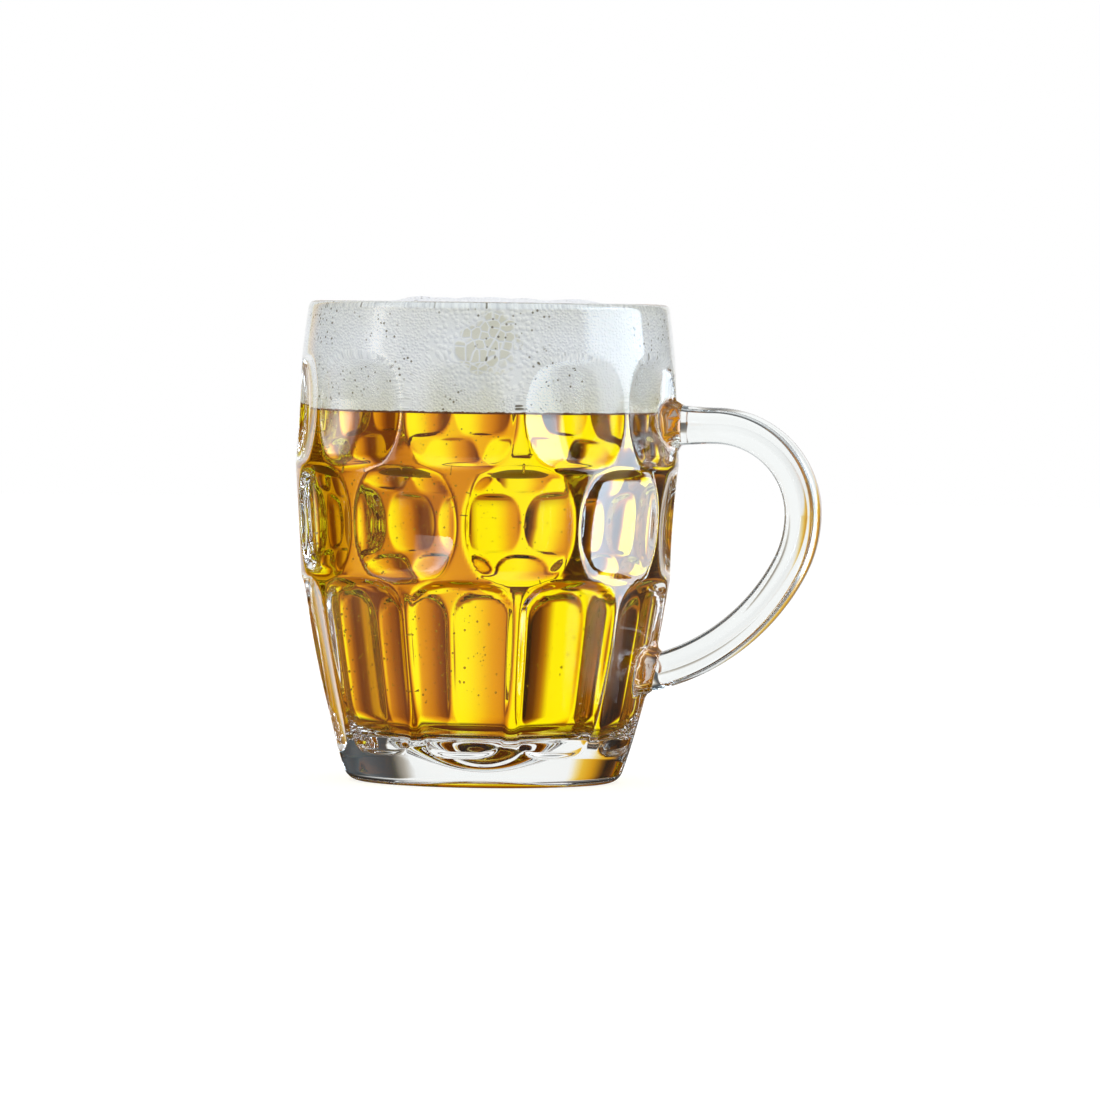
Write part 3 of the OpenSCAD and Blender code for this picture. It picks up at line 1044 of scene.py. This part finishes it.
@dataclass
class Froth:
    """The head: a low dome of foam with a few lumps, pressed against the glass at its side."""

    bottom: float = DRINK_TOP + FIT
    edge: float = 124.8 * MM
    wet_top: float = edge - 0.5 * MM
    crown: float = 126.8 * MM
    inset: float = 0.05 * MM
    rounding: float = 1.2 * MM
    rounding_start: float = 0.3
    side_margin: float = 0.4 * MM
    base_shares: tuple[float, ...] = (0.6, 0.3, 0.0)
    lump_top: float = 127.4 * MM
    lump_reach: float = 6.5 * MM
    lump_margin: float = 0.3 * MM
    # Each lump: its angle in degrees, then shares for how far out, how wide and how high it is
    lumps: tuple[tuple[float, float, float, float], ...] = (
        (238, 0.64, 0.8, 1.0), (215, 0.5, 0.6, 0.85), (262, 0.42, 0.7, 0.9), (285, 0.14, 0.8, 0.95),
        (70, 0.45, 0.9, 0.8), (130, 0.55, 0.8, 0.85), (340, 0.6, 1.0, 0.75))
    columns: int = 360
    dome_rows: int = 56
    rounding_rows: int = 5
    side_rows: int = 50
    crisp_edge: float = math.radians(50)

    def dome(self, bowl: GlassBowl) -> tuple[float, float]:
        """Work out the dome that the head's top follows.

        Args:
            bowl: the bowl that holds the head.

        Returns:
            How far the dome reaches from the axis, and the radius of its arc.
        """
        reach = bowl.bore(self.edge) - self.inset
        return reach, bowl.arc_through(reach, self.crown - self.edge)

    def dome_height(self, arc: float, reach: float) -> float:
        """Return the height of the dome at a distance from the axis."""
        return self.crown - arc + math.sqrt(arc ** 2 - reach ** 2)

    def outline(self, bowl: GlassBowl) -> list[tuple[float, float]]:
        """List the head's section, from its crown, down its side, to the middle of its foot.

        Args:
            bowl: the bowl that holds the head.

        Returns:
            Radius and height of each point.
        """
        reach, arc = self.dome(bowl)
        centre = reach - self.rounding
        top = [(r, self.dome_height(arc, r)) for r in np.linspace(0, centre, self.dome_rows)]
        edge = [(centre + self.rounding * math.sin(a),
                 top[-1][1] - self.rounding * (1 - math.cos(a)))
                for a in np.linspace(self.rounding_start, math.pi / 2, self.rounding_rows)]
        side_top = edge[-1][1] - self.side_margin
        side = [(bowl.bore(h) - self.inset, float(h))
                for h in np.linspace(side_top, self.bottom, self.side_rows)]
        base = [(side[-1][0] * share, self.bottom) for share in self.base_shares]
        return top + edge + side + base

    def raise_lumps(self, piece: bpy.types.Object, bowl: GlassBowl) -> None:
        """Raise soft lumps on the head's top.

        Args:
            piece: the spun head.
            bowl: the bowl that holds it.
        """
        reach, arc = self.dome(bowl)
        points = points_of(piece)
        skin = ((points[:, 2] > self.edge - self.lump_margin)
                & (np.hypot(points[:, 0], points[:, 1]) < reach - self.rounding))
        lift = np.zeros(len(points))
        for degrees, out, size, rise in self.lumps:
            a = math.radians(degrees)
            x, y = out * reach * math.cos(a), out * reach * math.sin(a)
            far = np.hypot(points[:, 0] - x, points[:, 1] - y) / (self.lump_reach * size)
            room = self.lump_top - self.dome_height(arc, out * reach)
            lift = np.maximum(lift, room * rise * np.exp(-far ** 2))
        points[:, 2] = np.minimum(points[:, 2] + np.where(skin, lift, 0), self.lump_top)
        move_points(piece, points)

    def build(self, bowl: GlassBowl) -> bpy.types.Object:
        """Model the head of froth.

        Args:
            bowl: the bowl that holds it.

        Returns:
            The froth, which stands for the frame's own.
        """
        piece = turned_shell("froth_head", self.outline(bowl), self.columns)
        self.raise_lumps(piece, bowl)
        bpy.ops.object.shade_smooth_by_angle(angle=self.crisp_edge)
        piece.data.materials.append(FrothBody().material())
        return piece


@dataclass
class GasBubbles:
    """Small bubbles that cling to the bore under the froth."""

    count: int = 900
    smallest: float = 0.12 * MM
    largest: float = 0.40 * MM
    crowded: tuple[float, float] = (-165, -80)
    crowded_share: float = 0.55
    lowest: float = 22 * MM
    below_froth: float = 2 * MM
    off_wall: float = 0.06 * MM
    seed: int = 7

    def build(self, bowl: GlassBowl, surface: float) -> bpy.types.Object:
        """Model the bubbles as one piece.

        Args:
            bowl: the bowl whose bore they cling to.
            surface: the height of the drink's surface.

        Returns:
            All the bubbles, joined.
        """
        rng = random.Random(self.seed)
        deselect_all()
        made = []
        bpy.ops.mesh.primitive_ico_sphere_add(subdivisions=1, radius=1.0)
        pattern = bpy.context.object
        for _ in range(self.count):
            size = mix(self.smallest, self.largest, rng.random() ** 2)
            h = rng.uniform(self.lowest, surface - self.below_froth)
            a = rng.uniform(0, FULL_TURN)
            if rng.random() < self.crowded_share:
                a = math.radians(rng.uniform(*self.crowded))
            r = bowl.bore(h) - self.off_wall - size
            copy = bpy.data.objects.new("bubble", pattern.data.copy())
            bpy.context.collection.objects.link(copy)
            copy.data.transform(Matrix.Translation((r * math.cos(a), r * math.sin(a), h))
                                @ Matrix.Diagonal((size, size, size, 1)))
            made.append(copy)
        deselect_all()
        bpy.data.objects.remove(pattern)
        for copy in made:
            copy.select_set(True)
        bpy.context.view_layer.objects.active = made[0]
        bpy.ops.object.join()
        piece = bpy.context.object
        piece.name = "gas_bubbles"
        bpy.ops.object.shade_smooth()
        piece.data.materials.append(GasBubble().material())
        return piece


@dataclass
class Studio:
    """Camera, floor and soft white surroundings, with dark flags that draw the glass's edges."""

    azimuth: float = math.radians(8)
    distance: float = 2.027
    eye_height: float = 0.124
    aim_right: float = 16.8 * MM
    aim_height: float = 61 * MM
    roll: float = math.radians(0.75)
    lens: float = 252.0
    sensor: float = 36.0
    lamp_strength: float = 11.0
    deep_lamp_share: float = 0.1
    drink_gain: float = 1.15
    # Each band: degrees round the horizon, with 0 straight behind the mug, 90 on its right and
    # 180 behind the camera, and the colour that lies there
    clear_bands: tuple[tuple[float, str], ...] = (
        (-180, "A4A8AA"), (-160, "A4A8AA"), (-142, "9C948C"), (-100, "9C948C"), (-76, "484A4C"),
        (-60, "201E1C"), (-48, "201E1C"), (-43, "7A4E1C"), (-36, "E0A020"),
        (-31, "F2C03C"), (-28.5, "FAE090"), (-26, "FFFFFF"), (21, "FFFFFF"),
        (25, "B8B0A4"), (30, "4C4A48"), (36, "4A5054"), (50, "5A666C"), (75, "303438"),
        (130, "50565A"), (150, "50565A"), (162, "A4A8AA"), (180, "A4A8AA"))
    drink_bands: tuple[tuple[float, str], ...] = (
        (-180, "3C1C0C"), (-130, "8A4A1A"), (-90, "DC9440"), (-72, "401C0A"), (-55, "1C0C06"),
        (-33, "28140C"), (-26, "28140C"), (-21, "6A3A18"), (-17.5, "B87C28"),
        (-14.5, "FFF6E8"), (-5, "FFFAF0"),
        (-2, "FDEFCC"), (2, "F6D080"), (5, "E8AC58"), (8, "DC9844"), (12, "C47C34"),
        (15.5, "96541F"), (20, "6A3412"), (28, "7A4218"), (34, "BE8638"), (45, "D8A048"),
        (58, "BE8438"), (64, "2A1006"), (80, "3C1A08"), (110, "8A4A1A"), (180, "3C1C0C"))
    lamp_bands: tuple[tuple[float, str], ...] = (
        (-180, "000000"), (-124, "000000"), (-122, "6C6C6C"), (-112, "787878"),
        (-108, "D8D8D8"), (-102, "D8D8D8"), (-99, "787878"), (-95, "787878"), (-94, "000000"),
        (66, "000000"), (68, "D8E8F8"), (112.5, "D8E8F8"), (113.5, "909CA8"), (117, "909CA8"),
        (118, "000000"))
    far_lamp_bands: tuple[tuple[float, str], ...] = (
        (-180, "000000"), (-124, "000000"), (-122, "202020"), (-95, "202020"), (-94, "000000"),
        (66, "000000"), (68, "D8E8F8"), (112.5, "D8E8F8"), (113.5, "909CA8"), (117, "909CA8"),
        (118, "000000"))
    near_lamp_bands: tuple[tuple[float, str], ...] = (
        (-180, "000000"), (110, "000000"), (112, "909CA8"), (117, "909CA8"), (118, "000000"))
    floor_radius: float = 3.0
    floor_gap: float = 0.02 * MM
    shade_reach: tuple[float, float] = (0.05, 0.11)
    near_reach: tuple[float, float] = (0.15, 0.2)
    wall_rise: tuple[float, float] = (0.14, 0.34)
    ceiling_rise: tuple[float, float] = (0.45, 0.75)
    clear_faces: float = 3.5
    under_colour: str = "2A2522"
    under_drink_colour: str = "5A2A0C"
    wall_drink_colour: str = "B46E2C"
    ceiling_colour: str = "E8ECF0"
    ceiling_drink_colour: str = "5A2C14"
    paper_colour: str = "F4F4F4"
    backdrop_colour: str = "949494"
    backdrop_glow: float = 0.78

    def camera(self) -> None:
        """Place the camera as the photograph's stood, level with the rim and far away."""
        away = Vector((math.sin(self.azimuth), -math.cos(self.azimuth), 0))
        right = Vector((math.cos(self.azimuth), math.sin(self.azimuth), 0))
        place = away * self.distance + Vector((0, 0, self.eye_height))
        target = right * self.aim_right + Vector((0, 0, self.aim_height))
        data = bpy.data.cameras.new("studio_camera")
        data.lens = self.lens
        data.sensor_width = self.sensor
        data.clip_start = 0.05
        camera = bpy.data.objects.new("studio_camera", data)
        bpy.context.collection.objects.link(camera)
        facing = (target - place).to_track_quat("-Z", "Y").to_matrix().to_4x4()
        camera.matrix_world = (Matrix.Translation(place) @ facing
                               @ Matrix.Rotation(self.roll, 4, "Z"))
        bpy.context.scene.camera = camera

    def paper(self) -> bpy.types.Material:
        """Build the floor's paper: white to the camera, matte to the froth, a room to the glass.

        Returns:
            The material, dark close under the mug where the glass looks down.
        """
        material, tree, output = new_material("white paper sweep")
        place = add_node(tree, "ShaderNodeTexCoord").outputs["Object"]
        reach = add_node(tree, "ShaderNodeVectorMath", {"operation": "LENGTH"}, in0=place)
        lit = add_node(tree, "ShaderNodeMapRange", {"interpolation_type": "SMOOTHSTEP"},
                       Value=reach.outputs["Value"], From_Min=self.shade_reach[0],
                       From_Max=self.shade_reach[1])
        far = add_node(tree, "ShaderNodeMapRange", {"interpolation_type": "SMOOTHSTEP"},
                       Value=reach.outputs["Value"], From_Min=self.near_reach[0],
                       From_Max=self.near_reach[1])
        room = add_node(tree, "ShaderNodeMix", {"data_type": "RGBA"}, in0=far.outputs[0],
                        in6=self.room_colour(tree, place, self.near_lamp_bands),
                        in7=self.room_colour(tree, place, self.far_lamp_bands))
        below = add_node(tree, "ShaderNodeMix", {"data_type": "RGBA"}, in0=self.deep_ray(tree),
                         in6=linear(self.under_colour), in7=linear(self.under_drink_colour))
        seen = add_node(tree, "ShaderNodeMix", {"data_type": "RGBA"}, in0=lit.outputs[0],
                        in6=below.outputs[2], in7=room.outputs[2])
        matte = add_node(tree, "ShaderNodeBsdfDiffuse", Color=linear(self.paper_colour))
        shaded = add_node(tree, "ShaderNodeBsdfDiffuse", Color=linear(self.backdrop_colour))
        white = add_node(tree, "ShaderNodeEmission", Color=linear("FFFFFF"),
                         Strength=self.backdrop_glow)
        backdrop = add_node(tree, "ShaderNodeAddShader", in0=shaded.outputs[0],
                            in1=white.outputs[0])
        path = add_node(tree, "ShaderNodeLightPath")
        plain = add_node(tree, "ShaderNodeMixShader", in0=path.outputs["Is Camera Ray"],
                         in1=matte.outputs[0], in2=backdrop.outputs[0])
        mirrored = add_node(tree, "ShaderNodeEmission", Color=seen.outputs[2])
        sheet = add_node(tree, "ShaderNodeMixShader", in0=self.sharp_ray(tree),
                         in1=plain.outputs[0], in2=mirrored.outputs[0])
        tree.links.new(sheet.outputs[0], output.inputs["Surface"])
        return material

    def floor(self) -> bpy.types.Object:
        """Lay the pale floor, which glass shows as part of the room round it.

        Returns:
            The floor.
        """
        deselect_all()
        bpy.ops.mesh.primitive_circle_add(vertices=96, radius=self.floor_radius, fill_type="NGON",
                                          location=(0, 0, -self.floor_gap))
        sheet = bpy.context.object
        sheet.name = "studio_floor"
        bpy.ops.object.transform_apply(location=True, rotation=True, scale=True)
        sheet.data.materials.append(self.paper())
        return sheet

    @staticmethod
    def sharp_ray(tree: bpy.types.NodeTree) -> bpy.types.NodeSocket:
        """Tell rays that only glass has turned on their way from all others.

        Args:
            tree: the tree to add the test to.

        Returns:
            One for such a ray, and 0 for any other.
        """
        path = add_node(tree, "ShaderNodeLightPath")
        glass = add_node(tree, "ShaderNodeMath", {"operation": "MAXIMUM"},
                         in0=path.outputs["Is Glossy Ray"], in1=path.outputs["Is Transmission Ray"])
        clean = add_node(tree, "ShaderNodeMath", {"operation": "LESS_THAN"},
                         in0=path.outputs["Diffuse Depth"], in1=0.5)
        return add_node(tree, "ShaderNodeMath", {"operation": "MULTIPLY"}, in0=glass.outputs[0],
                        in1=clean.outputs[0]).outputs[0]

    def deep_ray(self, tree: bpy.types.NodeTree) -> bpy.types.NodeSocket:
        """Return 1 for a ray that has crossed more faces than clear glass has, so the drink."""
        path = add_node(tree, "ShaderNodeLightPath")
        return add_node(tree, "ShaderNodeMath", {"operation": "GREATER_THAN"},
                        in0=path.outputs["Transmission Depth"], in1=self.clear_faces).outputs[0]

    def room_colour(self, tree: bpy.types.NodeTree, way: bpy.types.NodeSocket,
                    lamp_bands: Sequence[tuple[float, str]]) -> bpy.types.NodeSocket:
        """Paint the room as bands round the horizon.

        Args:
            tree: the tree to add the bands to.
            way: a direction, or a place on the floor.
            lamp_bands: how bright the lamps are round the horizon.

        Returns:
            The colour that lies that way.
        """
        facing = add_node(tree, "ShaderNodeVectorRotate", {"rotation_type": "Z_AXIS"},
                          Vector=way, Angle=-self.azimuth)
        parts = add_node(tree, "ShaderNodeSeparateXYZ", Vector=facing.outputs[0])
        angle = add_node(tree, "ShaderNodeMath", {"operation": "ARCTAN2"},
                         in0=parts.outputs["X"], in1=parts.outputs["Y"])
        turn = add_node(tree, "ShaderNodeMapRange", Value=angle.outputs[0],
                        From_Min=-math.pi, From_Max=math.pi).outputs[0]
        deep = self.deep_ray(tree)
        ramps = []
        for stops in (self.clear_bands, self.drink_bands, lamp_bands):
            ramp = add_node(tree, "ShaderNodeValToRGB", in0=turn)
            fill_ramp(ramp, [((degrees + 180) / 360, linear(c)) for degrees, c in stops])
            ramps.append(ramp.outputs["Color"])
        through = add_node(tree, "ShaderNodeVectorMath", {"operation": "SCALE"}, in0=ramps[1],
                           Scale=self.drink_gain)
        bands = add_node(tree, "ShaderNodeMix", {"data_type": "RGBA"}, in0=deep,
                         in6=ramps[0], in7=through.outputs[0])
        reach = add_node(tree, "ShaderNodeMath", {"operation": "MULTIPLY_ADD"},
                         in0=deep, in1=(self.deep_lamp_share - 1) * self.lamp_strength,
                         in2=self.lamp_strength)
        lamps = add_node(tree, "ShaderNodeVectorMath", {"operation": "SCALE"}, in0=ramps[2],
                         Scale=reach.outputs[0])
        both = add_node(tree, "ShaderNodeVectorMath", {"operation": "ADD"},
                        in0=bands.outputs[2], in1=lamps.outputs[0])
        return both.outputs[0]

    def surroundings(self) -> None:
        """Surround the set with the room, white to the camera and plain to matte faces."""
        world = bpy.data.worlds.new("studio room")
        bpy.context.scene.world = world
        world.use_nodes = True
        tree = world.node_tree
        tree.nodes.clear()
        place = add_node(tree, "ShaderNodeTexCoord")
        way = add_node(tree, "ShaderNodeSeparateXYZ", Vector=place.outputs["Generated"])
        deep = self.deep_ray(tree)
        rise = add_node(tree, "ShaderNodeMapRange", {"interpolation_type": "SMOOTHSTEP"},
                        Value=way.outputs["Z"], From_Min=self.wall_rise[0],
                        From_Max=self.wall_rise[1], To_Max=deep)
        wall = add_node(tree, "ShaderNodeMix", {"data_type": "RGBA"}, in0=rise.outputs[0],
                        in6=self.room_colour(tree, place.outputs["Generated"], self.lamp_bands),
                        in7=linear(self.wall_drink_colour))
        up = add_node(tree, "ShaderNodeMapRange", {"interpolation_type": "SMOOTHSTEP"},
                      Value=way.outputs["Z"], From_Min=self.ceiling_rise[0],
                      From_Max=self.ceiling_rise[1])
        above = add_node(tree, "ShaderNodeMix", {"data_type": "RGBA"}, in0=deep,
                         in6=linear(self.ceiling_colour), in7=linear(self.ceiling_drink_colour))
        room = add_node(tree, "ShaderNodeMix", {"data_type": "RGBA"}, in0=up.outputs[0],
                        in6=wall.outputs[2], in7=above.outputs[2])
        seen = add_node(tree, "ShaderNodeMix", {"data_type": "RGBA"}, in0=self.sharp_ray(tree),
                        in6=linear("FFFFFF"), in7=room.outputs[2])
        path = add_node(tree, "ShaderNodeLightPath")
        final = add_node(tree, "ShaderNodeMix", {"data_type": "RGBA"},
                         in0=path.outputs["Is Camera Ray"], in6=seen.outputs[2],
                         in7=linear("FFFFFF"))
        light = add_node(tree, "ShaderNodeBackground", Color=final.outputs[2], Strength=1.0)
        output = add_node(tree, "ShaderNodeOutputWorld")
        tree.links.new(light.outputs[0], output.inputs["Surface"])

    def settle(self) -> None:
        """Set the view, and let light pass through enough faces to cross the drink."""
        scene = bpy.context.scene
        scene.view_settings.view_transform = "Standard"
        scene.cycles.max_bounces = 24
        scene.cycles.transmission_bounces = 24
        scene.cycles.glossy_bounces = 12
        scene.cycles.diffuse_bounces = 8
        scene.cycles.blur_glossy = 0.0


def seat(piece: bpy.types.Object, slot: str, *nodes: str) -> None:
    """Fix a finished piece to the body, hide the frame's nodes that it stands for and log its faces.

    Args:
        piece: the finished piece.
        slot: the record's material slot; not used.
        nodes: the frame's nodes that it stands for.
    """
    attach(piece, ROOT)
    if nodes:
        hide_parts(*nodes)
    log.info("%s: %d faces", piece.name, len(piece.data.polygons))


def main() -> None:
    """Build the studio and the mug, piece by piece."""
    logging.basicConfig(level=logging.INFO, format="%(name)s %(relativeCreated)d %(message)s")
    studio = Studio()
    studio.camera()
    studio.surroundings()
    studio.floor()
    studio.settle()
    bowl, lager, froth = GlassBowl(), Lager(), Froth()
    seat(bowl.build(froth.wet_top), "clear_glass", "glass_bowl")
    seat(Handle().build(bowl), "clear_glass", "handle")
    seat(lager.build(bowl), "lager", "lager")
    seat(froth.build(bowl), "froth", "froth")
    seat(GasBubbles().build(bowl, lager.surface), "lager")


if __name__ == "__main__":
    main()
